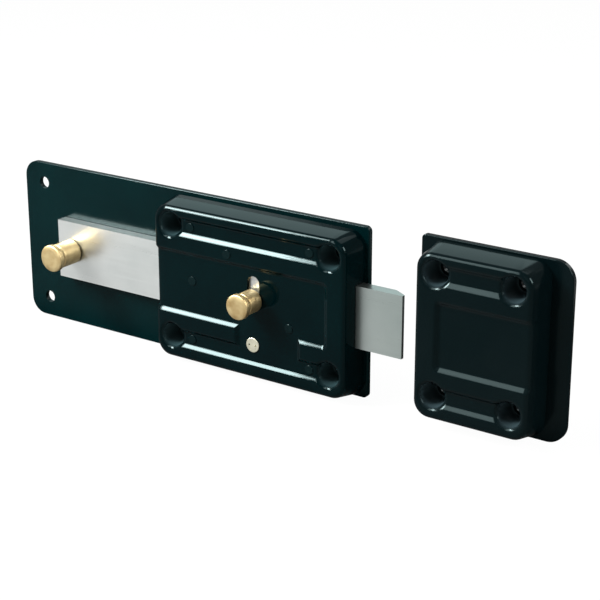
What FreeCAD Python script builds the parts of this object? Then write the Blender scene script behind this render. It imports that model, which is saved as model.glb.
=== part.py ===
import FreeCAD, Part
import math
import os

os.makedirs("parts", exist_ok=True)

# Frame: x runs the way the bolt is thrown, -y faces the viewer, +z is up, all in mm.
# The origin is the middle of the lock's mounting face, the rear of its backplate.

# Sheet, plates and covers
PLATE_LENGTH = 254.6
PLATE_HEIGHT = 100.0
PLATE_THICK = 3.0
PLATE_TAIL_CORNER = 10.0
PLATE_NOSE_CORNER = 3.0
EDGE_ROUND = 0.6
SHEET = 1.5
COVER_DEPTH = 17.0
COVER_HEIGHT = 92.0
COVER_CORNER = 9.0
COVER_DRAFT = 2.4
COVER_EDGE_ROUND = 2.4
CASE_LEFT = -10.0
CASE_WIDTH = 132.5
CASE_CENTRE_Z = -1.25

# Pressed shapes shared by both covers
RECESS_DEPTH = 1.8
RECESS_SLOPE = 1.6
RECESS_CORNER = 3.0
PANEL_HALF_HEIGHT = 19.3
FACE_RISE = 1.2
ROW_OFFSET_Z = 34.1
CHANNEL_HEIGHT = 11.0
PANEL_RIGHT_INSET = 11.8
BAY_LEFT = 48.0
BAY_RIGHT = 92.7
POCKET_INSET = 11.0
POCKET_TOP_RADIUS = 7.5
POCKET_FLOOR_RADIUS = 6.0
SCREW_HOLE_RADIUS = 3.0
EYELET_WALL = 0.6
EYELET_FLANGE = 1.6
EYELET_FLANGE_THICK = 0.5

# Bolt and the gaps it runs in
BOLT_LENGTH = 248.4
BOLT_TAIL_X = -94.9
BOLT_HALF_HEIGHT = 18.1
BOLT_THICK = 7.0
BOLT_GAP = 0.4
NOSE_FLAT = 2.3
NOSE_BEVEL = 8.0
THROW_OUT = 60.0
THROW_BACK = 30.0
MOVING_GAP = 0.3

# Knobs, one turned shape in two sizes
TAIL_KNOB_LENGTH = 19.1
TAIL_KNOB_HEAD_RADIUS = 8.3
LOCK_KNOB_LENGTH = 15.6
LOCK_KNOB_HEAD_RADIUS = 7.4
KNOB_BODY_SHARE = 0.9
KNOB_GROOVE_SHARE = 0.74
KNOB_HEAD_LENGTH = 3.6
KNOB_GROOVE_WIDTH = 1.3
KNOB_ROUND = 0.8
KNOB_BORE_DEPTH = 9.0
STUD_RADIUS = 3.0
STUD_FOOT_RADIUS = 2.5
TAIL_KNOB_X = -83.5
TAIL_WASHER_RADIUS = 5.5
TAIL_WASHER_THICK = 0.8
LOCK_KNOB_X = 59.9
LOCK_KNOB_Z = -0.8

# Locking slide behind the cover
SLIDE_THICK = 2.0
SLIDE_TRAVEL = 10.0
SLIDE_LEFT = 36.0
SLIDE_NECK_RIGHT = 70.0
SLIDE_RIGHT = 91.5
SLIDE_TOP = 30.0
SLIDE_SHOULDER = 8.0
SLIDE_HIP = -30.0
SLIDE_BOTTOM = -38.0
SLIDE_FOOT_LEFT = 52.0
SLIDE_FOOT_RIGHT = 82.0
SLOT_HALF_WIDTH = 4.2
SLOT_TOP_Z = 13.4
SLOT_PLATE_HALF_WIDTH = 7.5
SLOT_PLATE_ABOVE = 16.8
SLOT_PLATE_BELOW = 15.4
SLOT_PLATE_THICK = 1.0
POST_PIN_RADIUS = 2.5
POST_SHOULDER_RADIUS = 3.1
POST_SHANK_RADIUS = 2.0
POST_HEAD_RADIUS = 2.7
POST_HEAD_HEIGHT = 0.5
HEAD_ROUNDING = 0.7
UPPER_POST = (42.8, 23.5)
LOWER_POST = (84.5, -12.7)
SPRING_POST = (16.2, 2.0)
TOOTH_CENTRE_X = 74.0
TOOTH_WIDTH = 8.0
TOOTH_HEIGHT = 8.0
TOOTH_DROP = 0.75
TOOTH_REAR_GAP = 1.0
TOOTH_RIVET_RADIUS = 2.0
NOTCH_CLEARANCE = 0.5

# Key barrel, its crank and its bush
BARREL_X = 59.5
BARREL_Z = -27.9
BARREL_RADIUS = 4.35
BARREL_PROUD = 0.7
BARREL_RECESS = 0.3
BARREL_RUNNING = 0.05
SPANNER_HOLE_RADIUS = 0.6
SPANNER_HOLE_OFFSET = 2.2
SPANNER_HOLE_DEPTH = 1.0
KEY_SLOT_WIDTH = 1.6
KEY_SLOT_HEIGHT = 6.0
KEY_SLOT_DEPTH = 9.0
BUSH_RADIUS = 6.0
BUSH_FLANGE_RADIUS = 8.0
BUSH_FLANGE_THICK = 1.5
BUSH_REACH = 4.0
CLIP_THICK = 1.0
CLIP_INNER_RADIUS = 3.7
CLIP_OUTER_RADIUS = 6.5
CLIP_GAP_HALF = 1.2
CRANK_RADIUS = 10.0
CRANK_REST_ANGLE = -30.0
CRANK_THICK = 2.0
CRANK_HUB_RADIUS = 7.0
CRANK_ARM_WIDTH = 6.8
CRANK_PIN_RADIUS = 2.0
CRANK_PIN_PLAY = 0.15

# Bolt staples, spacer posts and the spring arm
STAPLE_LEFT_X = -6.0
STAPLE_RIGHT_X = 97.0
STAPLE_WIDTH = 10.0
STAPLE_SHEET = 2.5
STAPLE_FOOT_END = 26.0
STAPLE_RIVET_Z = 23.5
STAPLE_RIVET_RADIUS = 1.6
STAPLE_RIVET_HEAD = 2.35
STAPLE_RIVET_HEAD_HEIGHT = 1.2
SPACER_LEFT_INSET = 25.5
SPACER_RIGHT_INSET = 24.1
SPACER_SHOULDER_RADIUS = 4.0
SPACER_FOOT_RADIUS = 2.5
SPRING_STRIP = 1.0
SPRING_RING_RADIUS = 4.0
SPRING_TIP_Z = 14.0
SPRING_TIP_RADIUS = 1.2

# End holes of the backplate
END_HOLE_RADIUS = 3.75
END_HOLE_INSET = 15.4
END_HOLE_OFFSET_Z = 37.3

# Keeper
KEEPER_PLATE_LEFT = 160.1
KEEPER_PLATE_WIDTH = 89.2
KEEPER_PLATE_CORNER = 11.0
KEEPER_PLATE_MOUTH_CORNER = 2.5
KEEPER_CENTRE_Z = 2.5
KEEPER_COVER_LEFT = 167.0
KEEPER_COVER_WIDTH = 68.0
KEEPER_PANEL_LEFT = 179.3
MOUTH_HALF_HEIGHT = 25.0
MOUTH_DEPTH = 12.0

# Levels measured back to front along y
PLATE_FRONT = -PLATE_THICK
COVER_FRONT = PLATE_FRONT - COVER_DEPTH
PANEL_FRONT = COVER_FRONT + RECESS_DEPTH
BOLT_REAR = PLATE_FRONT - BOLT_GAP
BOLT_FRONT = BOLT_REAR - BOLT_THICK
SLIDE_REAR = BOLT_FRONT - BOLT_GAP
SLIDE_FRONT = SLIDE_REAR - SLIDE_THICK
CRANK_REAR = SLIDE_FRONT - MOVING_GAP
CRANK_FRONT = CRANK_REAR - CRANK_THICK
PIN_END = SLIDE_REAR - CRANK_PIN_PLAY
CASE_RIGHT = CASE_LEFT + CASE_WIDTH
PLATE_LEFT = -PLATE_LENGTH / 2.0
PLATE_RIGHT = PLATE_LENGTH / 2.0
THROUGH = 2.0
RUN_OUT = 8.0
WALL_CUT = 4.0


def save(shape, node):
    shape.exportStep("parts/" + node + ".step")


def box(x0, x1, y0, y1, z0, z1):
    return Part.makeBox(x1 - x0, y1 - y0, z1 - z0, FreeCAD.Vector(x0, y0, z0))


def rod(radius, x, z, y_front, y_rear):
    return Part.makeCylinder(radius, y_rear - y_front, FreeCAD.Vector(x, y_front, z), FreeCAD.Vector(0, 1, 0))


def rounded_wire(x0, x1, z0, z1, corners, y):
    # corners: radii at lower left, lower right, upper right, upper left
    a, b, c, d = corners
    k = math.sqrt(0.5)

    def at(x, z):
        return FreeCAD.Vector(x, y, z)

    edges = [
        Part.makeLine(at(x0 + a, z0), at(x1 - b, z0)),
        Part.Arc(at(x1 - b, z0), at(x1 - b + b * k, z0 + b - b * k), at(x1, z0 + b)).toShape(),
        Part.makeLine(at(x1, z0 + b), at(x1, z1 - c)),
        Part.Arc(at(x1, z1 - c), at(x1 - c + c * k, z1 - c + c * k), at(x1 - c, z1)).toShape(),
        Part.makeLine(at(x1 - c, z1), at(x0 + d, z1)),
        Part.Arc(at(x0 + d, z1), at(x0 + d - d * k, z1 - d + d * k), at(x0, z1 - d)).toShape(),
        Part.makeLine(at(x0, z1 - d), at(x0, z0 + a)),
        Part.Arc(at(x0, z0 + a), at(x0 + a - a * k, z0 + a - a * k), at(x0 + a, z0)).toShape(),
    ]
    return Part.Wire(edges)


def rounded_plate(x0, x1, z0, z1, corners, y_front, y_rear):
    face = Part.Face(rounded_wire(x0, x1, z0, z1, corners, y_front))
    return face.extrude(FreeCAD.Vector(0, y_rear - y_front, 0))


def drafted_block(x0, x1, z0, z1, corner, y_front, y_rear, grow):
    # The outline grows by the draft on every side between the front and the rear
    front = rounded_wire(x0, x1, z0, z1, [corner] * 4, y_front)
    rear = rounded_wire(x0 - grow, x1 + grow, z0 - grow, z1 + grow, [corner + grow] * 4, y_rear)
    return Part.makeLoft([front, rear], True, True)


def soften(shape, radius, chosen):
    edges = [edge for edge in shape.Edges if chosen(edge)]
    return shape.makeFillet(radius, edges)


def lies_at(y):
    def chosen(edge):
        return all(abs(vertex.Point.y - y) < 1e-4 for vertex in edge.Vertexes)
    return chosen


def pressed_dish(x0, x1, z0, z1, skin):
    # Shallow pressed dish; skin is the sheet added round it for the inner face
    reach = RECESS_SLOPE
    front = COVER_FRONT - THROUGH
    lip = reach * THROUGH / RECESS_DEPTH
    floor = COVER_FRONT + RECESS_DEPTH + skin
    mouth = rounded_wire(x0 - lip - skin, x1 + lip + skin, z0 - lip - skin, z1 + lip + skin,
                         [RECESS_CORNER + lip + skin] * 4, front)
    base = rounded_wire(x0 + reach - skin, x1 - reach + skin, z0 + reach - skin, z1 - reach + skin,
                        [RECESS_CORNER - reach + skin] * 4, floor)
    return Part.makeLoft([mouth, base], True, True)


def pocket_cone(x, z, skin):
    depth = COVER_DEPTH - SHEET + skin
    slope = (POCKET_TOP_RADIUS - POCKET_FLOOR_RADIUS) / (COVER_DEPTH - SHEET)
    top = POCKET_TOP_RADIUS + skin + slope * THROUGH
    floor = POCKET_FLOOR_RADIUS + skin
    return Part.makeCone(top, floor, depth + THROUGH, FreeCAD.Vector(x, COVER_FRONT - THROUGH, z),
                         FreeCAD.Vector(0, 1, 0))


def pressed_cover(x0, width, centre_z, pockets, dishes):
    x1 = x0 + width
    z0 = centre_z - COVER_HEIGHT / 2.0
    z1 = centre_z + COVER_HEIGHT / 2.0
    outer = drafted_block(x0, x1, z0, z1, COVER_CORNER, COVER_FRONT, PLATE_FRONT, COVER_DRAFT)
    outer = soften(outer, COVER_EDGE_ROUND, lies_at(COVER_FRONT))
    inner = drafted_block(x0 + SHEET, x1 - SHEET, z0 + SHEET, z1 - SHEET, COVER_CORNER - SHEET,
                          COVER_FRONT + SHEET, PLATE_FRONT, COVER_DRAFT)
    inner = soften(inner, COVER_EDGE_ROUND - SHEET, lies_at(COVER_FRONT + SHEET))
    hollow = inner
    for dish in dishes:
        hollow = hollow.cut(pressed_dish(*dish, SHEET))
    for x, z in pockets:
        hollow = hollow.cut(pocket_cone(x, z, SHEET))
    cover = outer.cut(hollow)
    for dish in dishes:
        cover = cover.cut(pressed_dish(*dish, 0.0))
    for x, z in pockets:
        cover = cover.cut(pocket_cone(x, z, 0.0))
        cover = cover.cut(rod(SCREW_HOLE_RADIUS + EYELET_WALL, x, z, COVER_FRONT, 0.0))
    return cover


def channel(x0, x1, face_z, side):
    z = face_z + side * ROW_OFFSET_Z
    return (x0, x1, z - CHANNEL_HEIGHT / 2.0, z + CHANNEL_HEIGHT / 2.0)


def knob(x, z, y_base, length, head_radius):
    head_front = y_base - length
    head_rear = head_front + KNOB_HEAD_LENGTH
    groove_rear = head_rear + KNOB_GROOVE_WIDTH
    body = rod(head_radius * KNOB_BODY_SHARE, x, z, groove_rear, y_base)
    body = soften(body, KNOB_ROUND, lambda edge: lies_at(groove_rear)(edge) or lies_at(y_base)(edge))
    head = rod(head_radius, x, z, head_front, head_rear)
    head = soften(head, KNOB_ROUND, lambda edge: lies_at(head_front)(edge) or lies_at(head_rear)(edge))
    neck = rod(head_radius * KNOB_GROOVE_SHARE, x, z, head_rear - EDGE_ROUND, groove_rear + EDGE_ROUND)
    turned = body.fuse([neck, head])
    return turned.cut(rod(STUD_RADIUS, x, z, y_base - KNOB_BORE_DEPTH, y_base + THROUGH)).removeSplitter()


def knob_stud(x, z, y_base, y_front, y_rear):
    # Full shank inside the knob down to y_front, thinner riveted foot from there to y_rear
    shank = rod(STUD_RADIUS, x, z, y_base - KNOB_BORE_DEPTH, y_front)
    foot = rod(STUD_FOOT_RADIUS, x, z, y_front, y_rear)
    return shank.fuse(foot).removeSplitter()


def cover_post(x, z, face, steps):
    # Head on the painted face, shank through the sheet, then each step as (radius, end level)
    head = rod(POST_HEAD_RADIUS, x, z, face - POST_HEAD_HEIGHT, face)
    head = soften(head, POST_HEAD_HEIGHT * HEAD_ROUNDING, lies_at(face - POST_HEAD_HEIGHT))
    post = head.fuse(rod(POST_SHANK_RADIUS, x, z, face, face + SHEET))
    level = face + SHEET
    for radius, end in steps:
        post = post.fuse(rod(radius, x, z, level, end))
        level = end
    return post.removeSplitter()


# Places shared by several pieces
case_pockets_x = (CASE_LEFT + POCKET_INSET, CASE_RIGHT - POCKET_INSET)
keeper_cover_right = KEEPER_COVER_LEFT + KEEPER_COVER_WIDTH
keeper_pockets_x = (KEEPER_COVER_LEFT + POCKET_INSET, keeper_cover_right - POCKET_INSET)
case_face_z = CASE_CENTRE_Z + FACE_RISE
keeper_face_z = KEEPER_CENTRE_Z + FACE_RISE
case_pockets = [(x, case_face_z + side * ROW_OFFSET_Z) for x in case_pockets_x for side in (-1.0, 1.0)]
keeper_pockets = [(x, keeper_face_z + side * ROW_OFFSET_Z) for x in keeper_pockets_x for side in (-1.0, 1.0)]
spacers_x = (CASE_LEFT + SPACER_LEFT_INSET, CASE_RIGHT - SPACER_RIGHT_INSET)
spacers = [(x, case_face_z + side * ROW_OFFSET_Z) for x in spacers_x for side in (-1.0, 1.0)]
staple_rivets = [(x + STAPLE_WIDTH / 2.0, side * STAPLE_RIVET_Z) for x in (STAPLE_LEFT_X, STAPLE_RIGHT_X)
                 for side in (-1.0, 1.0)]
eyelet_radius = SCREW_HOLE_RADIUS + EYELET_WALL

# Backplate
backplate = rounded_plate(PLATE_LEFT, PLATE_RIGHT, -PLATE_HEIGHT / 2.0, PLATE_HEIGHT / 2.0,
                          [PLATE_TAIL_CORNER, PLATE_NOSE_CORNER, PLATE_NOSE_CORNER, PLATE_TAIL_CORNER],
                          PLATE_FRONT, 0.0)
backplate = soften(backplate, EDGE_ROUND, lies_at(PLATE_FRONT))
for side in (-1.0, 1.0):
    backplate = backplate.cut(rod(END_HOLE_RADIUS, PLATE_LEFT + END_HOLE_INSET, side * END_HOLE_OFFSET_Z,
                                  PLATE_FRONT, 0.0))
for x, z in case_pockets:
    backplate = backplate.cut(rod(eyelet_radius, x, z, PLATE_FRONT, 0.0))
for x, z in spacers:
    backplate = backplate.cut(rod(SPACER_FOOT_RADIUS, x, z, PLATE_FRONT, 0.0))
for x, z in staple_rivets:
    backplate = backplate.cut(rod(STAPLE_RIVET_RADIUS, x, z, PLATE_FRONT, 0.0))
backplate = backplate.cut(rod(BUSH_RADIUS, BARREL_X, BARREL_Z, PLATE_FRONT, 0.0))
save(backplate, "backplate")

# Case cover: open dish at the tail side, a bay round the key barrel, two channels, four pockets
case_dishes = [
    (CASE_LEFT - RUN_OUT, CASE_RIGHT - PANEL_RIGHT_INSET, case_face_z - PANEL_HALF_HEIGHT,
     case_face_z + PANEL_HALF_HEIGHT),
    (BAY_LEFT, BAY_RIGHT, case_face_z - ROW_OFFSET_Z, case_face_z - PANEL_HALF_HEIGHT + RECESS_CORNER * 2.0),
    channel(case_pockets_x[0], case_pockets_x[1], case_face_z, 1.0),
    channel(case_pockets_x[0], case_pockets_x[1], case_face_z, -1.0),
]
case_cover = pressed_cover(CASE_LEFT, CASE_WIDTH, CASE_CENTRE_Z, case_pockets, case_dishes)
wall_slot = BOLT_HALF_HEIGHT + BOLT_GAP
case_cover = case_cover.cut(box(CASE_LEFT - WALL_CUT, CASE_LEFT + WALL_CUT, BOLT_FRONT - BOLT_GAP,
                                PLATE_FRONT, -wall_slot, wall_slot))
case_cover = case_cover.cut(box(CASE_RIGHT - WALL_CUT, CASE_RIGHT + WALL_CUT, BOLT_FRONT - BOLT_GAP,
                                PLATE_FRONT, -wall_slot, wall_slot))
slot_top = SLOT_TOP_Z - SLOT_HALF_WIDTH
slot_bottom = LOCK_KNOB_Z
knob_slot = rod(SLOT_HALF_WIDTH, LOCK_KNOB_X, slot_top, COVER_FRONT, PLATE_FRONT)
knob_slot = knob_slot.fuse(rod(SLOT_HALF_WIDTH, LOCK_KNOB_X, slot_bottom, COVER_FRONT, PLATE_FRONT))
knob_slot = knob_slot.fuse(box(LOCK_KNOB_X - SLOT_HALF_WIDTH, LOCK_KNOB_X + SLOT_HALF_WIDTH, COVER_FRONT,
                               PLATE_FRONT, slot_bottom, slot_top))
case_cover = case_cover.cut(knob_slot)
case_cover = case_cover.cut(rod(BARREL_RADIUS + BARREL_RUNNING, BARREL_X, BARREL_Z, COVER_FRONT, PLATE_FRONT))
for x, z in spacers + [UPPER_POST, LOWER_POST, SPRING_POST]:
    case_cover = case_cover.cut(rod(POST_SHANK_RADIUS, x, z, COVER_FRONT, COVER_FRONT + RECESS_DEPTH + SHEET))
save(case_cover, "case_cover")

# Posts riveted through the painted face
upper_post = cover_post(UPPER_POST[0], UPPER_POST[1], COVER_FRONT,
                        [(POST_SHOULDER_RADIUS, CRANK_REAR), (POST_PIN_RADIUS, PIN_END)])
save(upper_post, "guide_post_upper")
lower_post = cover_post(LOWER_POST[0], LOWER_POST[1], PANEL_FRONT,
                        [(POST_SHOULDER_RADIUS, CRANK_REAR), (POST_PIN_RADIUS, PIN_END)])
save(lower_post, "guide_post_lower")
spring_front = SLIDE_FRONT - MOVING_GAP
spring_post = cover_post(SPRING_POST[0], SPRING_POST[1], PANEL_FRONT,
                         [(POST_SHOULDER_RADIUS, spring_front), (POST_PIN_RADIUS, PIN_END)])
save(spring_post, "spring_post")
spacer_posts = []
for x, z in spacers:
    spacer_posts.append(cover_post(x, z, PANEL_FRONT,
                                   [(SPACER_SHOULDER_RADIUS, PLATE_FRONT), (SPACER_FOOT_RADIUS, 0.0)]))
save(Part.makeCompound(spacer_posts), "spacer_posts")

# Staples that guide the bolt
staple_inner = BOLT_HALF_HEIGHT + MOVING_GAP
staple_front = BOLT_FRONT - MOVING_GAP


def staple(x0):
    x1 = x0 + STAPLE_WIDTH
    outer = box(x0, x1, staple_front - STAPLE_SHEET, PLATE_FRONT, -staple_inner - STAPLE_SHEET,
                staple_inner + STAPLE_SHEET)
    feet = box(x0, x1, PLATE_FRONT - STAPLE_SHEET, PLATE_FRONT, -STAPLE_FOOT_END, STAPLE_FOOT_END)
    passage = box(x0 - THROUGH, x1 + THROUGH, staple_front, PLATE_FRONT + THROUGH, -staple_inner,
                  staple_inner)
    strap = outer.fuse(feet).cut(passage)
    for side in (-1.0, 1.0):
        strap = strap.cut(rod(STAPLE_RIVET_RADIUS, x0 + STAPLE_WIDTH / 2.0, side * STAPLE_RIVET_Z,
                              PLATE_FRONT - STAPLE_SHEET, PLATE_FRONT))
    return strap.removeSplitter()


save(staple(STAPLE_LEFT_X), "bolt_staple_tail")
save(staple(STAPLE_RIGHT_X), "bolt_staple_nose")
rivets = []
foot_face = PLATE_FRONT - STAPLE_SHEET
for x, z in staple_rivets:
    head_face = foot_face - STAPLE_RIVET_HEAD_HEIGHT
    head = rod(STAPLE_RIVET_HEAD, x, z, head_face, foot_face)
    head = soften(head, STAPLE_RIVET_HEAD_HEIGHT * HEAD_ROUNDING, lies_at(head_face))
    rivets.append(head.fuse(rod(STAPLE_RIVET_RADIUS, x, z, foot_face, 0.0)).removeSplitter())
save(Part.makeCompound(rivets), "staple_rivets")

# Eyelets that join each pocket floor to the plate behind it and leave a screw hole
eyelets = []
pocket_floor = PLATE_FRONT - SHEET
for x, z in case_pockets + keeper_pockets:
    tube = rod(eyelet_radius, x, z, pocket_floor, 0.0)
    flange = rod(SCREW_HOLE_RADIUS + EYELET_FLANGE, x, z, pocket_floor - EYELET_FLANGE_THICK, pocket_floor)
    eyelet = tube.fuse(flange).cut(rod(SCREW_HOLE_RADIUS, x, z, COVER_FRONT, THROUGH))
    eyelets.append(eyelet.removeSplitter())
save(Part.makeCompound(eyelets), "screw_eyelets")

# Bolt: flat bar, bevelled behind its nose, notched in its lower edge for the locking tooth
bolt_nose_x = BOLT_TAIL_X + BOLT_LENGTH
profile = [
    (BOLT_TAIL_X, BOLT_REAR),
    (bolt_nose_x - NOSE_BEVEL, BOLT_REAR),
    (bolt_nose_x, BOLT_FRONT + NOSE_FLAT),
    (bolt_nose_x, BOLT_FRONT),
    (BOLT_TAIL_X, BOLT_FRONT),
    (BOLT_TAIL_X, BOLT_REAR),
]
bolt_face = Part.Face(Part.makePolygon([FreeCAD.Vector(x, y, -BOLT_HALF_HEIGHT) for x, y in profile]))
bolt = bolt_face.extrude(FreeCAD.Vector(0, 0, BOLT_HALF_HEIGHT * 2.0))
tooth_top = -BOLT_HALF_HEIGHT - TOOTH_DROP
notch_top = tooth_top + SLIDE_TRAVEL + NOTCH_CLEARANCE
notch_half = TOOTH_WIDTH / 2.0 + NOTCH_CLEARANCE
for shift in (0.0, -THROW_OUT, THROW_BACK):
    x = TOOTH_CENTRE_X + shift
    bolt = bolt.cut(box(x - notch_half, x + notch_half, BOLT_FRONT - THROUGH, BOLT_REAR + THROUGH,
                        -BOLT_HALF_HEIGHT - THROUGH, notch_top))
bolt = bolt.cut(rod(STUD_FOOT_RADIUS, TAIL_KNOB_X, 0.0, BOLT_FRONT, BOLT_REAR))
save(bolt, "bolt_bar")

# Tail knob on its washer and stud
tail_knob_base = BOLT_FRONT - TAIL_WASHER_THICK
save(knob(TAIL_KNOB_X, 0.0, tail_knob_base, TAIL_KNOB_LENGTH, TAIL_KNOB_HEAD_RADIUS), "tail_knob")
save(knob_stud(TAIL_KNOB_X, 0.0, tail_knob_base, BOLT_FRONT, BOLT_REAR), "tail_knob_stud")
tail_washer = rod(TAIL_WASHER_RADIUS, TAIL_KNOB_X, 0.0, tail_knob_base, BOLT_FRONT)
tail_washer = tail_washer.cut(rod(STUD_RADIUS, TAIL_KNOB_X, 0.0, tail_knob_base, BOLT_FRONT))
save(tail_washer, "tail_knob_washer")

# Locking slide
slide_outline = [(SLIDE_LEFT, SLIDE_TOP), (SLIDE_NECK_RIGHT, SLIDE_TOP), (SLIDE_NECK_RIGHT, SLIDE_SHOULDER),
                 (SLIDE_RIGHT, SLIDE_SHOULDER), (SLIDE_RIGHT, SLIDE_HIP), (SLIDE_FOOT_RIGHT, SLIDE_HIP),
                 (SLIDE_FOOT_RIGHT, SLIDE_BOTTOM), (SLIDE_FOOT_LEFT, SLIDE_BOTTOM), (SLIDE_FOOT_LEFT, 0.0),
                 (SLIDE_LEFT, 0.0)]
slide_points = [FreeCAD.Vector(x, SLIDE_FRONT, z) for x, z in slide_outline]
slide_face = Part.Face(Part.makePolygon(slide_points + [slide_points[0]]))
slide = slide_face.extrude(FreeCAD.Vector(0, SLIDE_THICK, 0))


def travel_slot(x, z, radius):
    low = z - SLIDE_TRAVEL
    slot = rod(radius, x, z, SLIDE_FRONT, SLIDE_REAR)
    slot = slot.fuse(rod(radius, x, low, SLIDE_FRONT, SLIDE_REAR))
    return slot.fuse(box(x - radius, x + radius, SLIDE_FRONT, SLIDE_REAR, low, z))


for x, z in (UPPER_POST, LOWER_POST):
    slide = slide.cut(travel_slot(x, z, POST_PIN_RADIUS + CRANK_PIN_PLAY))
slide = slide.cut(travel_slot(BARREL_X, BARREL_Z, BARREL_RADIUS + MOVING_GAP))
rest = math.radians(CRANK_REST_ANGLE)
pin_x = BARREL_X + CRANK_RADIUS * math.cos(rest)
pin_z = BARREL_Z + CRANK_RADIUS * math.sin(rest)
pin_slot = CRANK_PIN_RADIUS + CRANK_PIN_PLAY
slot_near = pin_x - CRANK_PIN_PLAY
slot_far = BARREL_X + CRANK_RADIUS + CRANK_PIN_PLAY
crank_slot = rod(pin_slot, slot_near, pin_z, SLIDE_FRONT, SLIDE_REAR)
crank_slot = crank_slot.fuse(rod(pin_slot, slot_far, pin_z, SLIDE_FRONT, SLIDE_REAR))
crank_slot = crank_slot.fuse(box(slot_near, slot_far, SLIDE_FRONT, SLIDE_REAR, pin_z - pin_slot,
                                 pin_z + pin_slot))
slide = slide.cut(crank_slot)
slide = slide.cut(rod(STUD_FOOT_RADIUS, LOCK_KNOB_X, LOCK_KNOB_Z, SLIDE_FRONT, SLIDE_REAR))
tooth_middle = tooth_top - TOOTH_HEIGHT / 2.0
slide = slide.cut(rod(TOOTH_RIVET_RADIUS, TOOTH_CENTRE_X, tooth_middle, SLIDE_FRONT, SLIDE_REAR))
save(slide.removeSplitter(), "locking_slide")

# Tooth riveted to the slide
tooth = box(TOOTH_CENTRE_X - TOOTH_WIDTH / 2.0, TOOTH_CENTRE_X + TOOTH_WIDTH / 2.0, SLIDE_REAR,
            PLATE_FRONT - TOOTH_REAR_GAP, tooth_top - TOOTH_HEIGHT, tooth_top)
tooth = tooth.fuse(rod(TOOTH_RIVET_RADIUS, TOOTH_CENTRE_X, tooth_middle, SLIDE_FRONT, SLIDE_REAR))
save(tooth.removeSplitter(), "locking_tooth")

# Lock knob and its stud, carried by the slide through the cover's slot
lock_knob_base = PANEL_FRONT - MOVING_GAP
save(knob(LOCK_KNOB_X, LOCK_KNOB_Z, lock_knob_base, LOCK_KNOB_LENGTH, LOCK_KNOB_HEAD_RADIUS), "lock_knob")
save(knob_stud(LOCK_KNOB_X, LOCK_KNOB_Z, lock_knob_base, SLIDE_FRONT, SLIDE_REAR), "lock_knob_stud")

# Thin plate on the stud that closes the slot from behind
slot_plate_front = PANEL_FRONT + SHEET + MOVING_GAP
slot_plate = box(LOCK_KNOB_X - SLOT_PLATE_HALF_WIDTH, LOCK_KNOB_X + SLOT_PLATE_HALF_WIDTH, slot_plate_front,
                 slot_plate_front + SLOT_PLATE_THICK, LOCK_KNOB_Z - SLOT_PLATE_BELOW,
                 LOCK_KNOB_Z + SLOT_PLATE_ABOVE)
slot_plate = slot_plate.cut(rod(STUD_RADIUS, LOCK_KNOB_X, LOCK_KNOB_Z, slot_plate_front,
                                slot_plate_front + SLOT_PLATE_THICK))
save(slot_plate, "slot_plate")

# Key barrel with its clip and crank
barrel_front = PANEL_FRONT - BARREL_PROUD
barrel = rod(BARREL_RADIUS, BARREL_X, BARREL_Z, barrel_front, -BARREL_RECESS)
barrel = soften(barrel, EDGE_ROUND / 2.0, lies_at(barrel_front))
for side in (-1.0, 1.0):
    barrel = barrel.cut(rod(SPANNER_HOLE_RADIUS, BARREL_X + side * SPANNER_HOLE_OFFSET, BARREL_Z,
                            barrel_front, barrel_front + SPANNER_HOLE_DEPTH))
barrel = barrel.cut(box(BARREL_X - KEY_SLOT_WIDTH / 2.0, BARREL_X + KEY_SLOT_WIDTH / 2.0,
                        -BARREL_RECESS - KEY_SLOT_DEPTH, 0.0, BARREL_Z - KEY_SLOT_HEIGHT / 2.0,
                        BARREL_Z + KEY_SLOT_HEIGHT / 2.0))
bush_front = PLATE_FRONT - BUSH_REACH
clip_rear = bush_front - MOVING_GAP
clip_front = clip_rear - CLIP_THICK
groove = rod(BARREL_RADIUS + THROUGH, BARREL_X, BARREL_Z, clip_front, clip_rear)
groove = groove.cut(rod(CLIP_INNER_RADIUS, BARREL_X, BARREL_Z, clip_front, clip_rear))
barrel = barrel.cut(groove)
save(barrel, "key_barrel")
clip = rod(CLIP_OUTER_RADIUS, BARREL_X, BARREL_Z, clip_front, clip_rear)
clip = clip.cut(rod(CLIP_INNER_RADIUS, BARREL_X, BARREL_Z, clip_front, clip_rear))
clip = clip.cut(box(BARREL_X - CLIP_GAP_HALF, BARREL_X + CLIP_GAP_HALF, clip_front, clip_rear, BARREL_Z,
                    BARREL_Z + CLIP_OUTER_RADIUS + THROUGH))
save(clip, "barrel_clip")
bush = rod(BUSH_RADIUS, BARREL_X, BARREL_Z, bush_front, 0.0)
bush = bush.fuse(rod(BUSH_FLANGE_RADIUS, BARREL_X, BARREL_Z, PLATE_FRONT - BUSH_FLANGE_THICK, PLATE_FRONT))
bush = bush.cut(rod(BARREL_RADIUS + BARREL_RUNNING, BARREL_X, BARREL_Z, bush_front, 0.0)).removeSplitter()
save(bush, "barrel_bush")
crank = rod(CRANK_HUB_RADIUS, BARREL_X, BARREL_Z, CRANK_FRONT, CRANK_REAR)
crank = crank.fuse(rod(CRANK_ARM_WIDTH / 2.0, pin_x, pin_z, CRANK_FRONT, CRANK_REAR))
arm = box(0.0, CRANK_RADIUS, CRANK_FRONT, CRANK_REAR, -CRANK_ARM_WIDTH / 2.0, CRANK_ARM_WIDTH / 2.0)
arm.rotate(FreeCAD.Vector(0, 0, 0), FreeCAD.Vector(0, -1, 0), CRANK_REST_ANGLE)
arm.translate(FreeCAD.Vector(BARREL_X, 0, BARREL_Z))
crank = crank.fuse(arm)
crank = crank.cut(rod(BARREL_RADIUS, BARREL_X, BARREL_Z, CRANK_FRONT, CRANK_REAR))
crank = crank.cut(rod(CRANK_PIN_RADIUS, pin_x, pin_z, CRANK_FRONT, CRANK_REAR)).removeSplitter()
save(crank, "barrel_crank")
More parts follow.
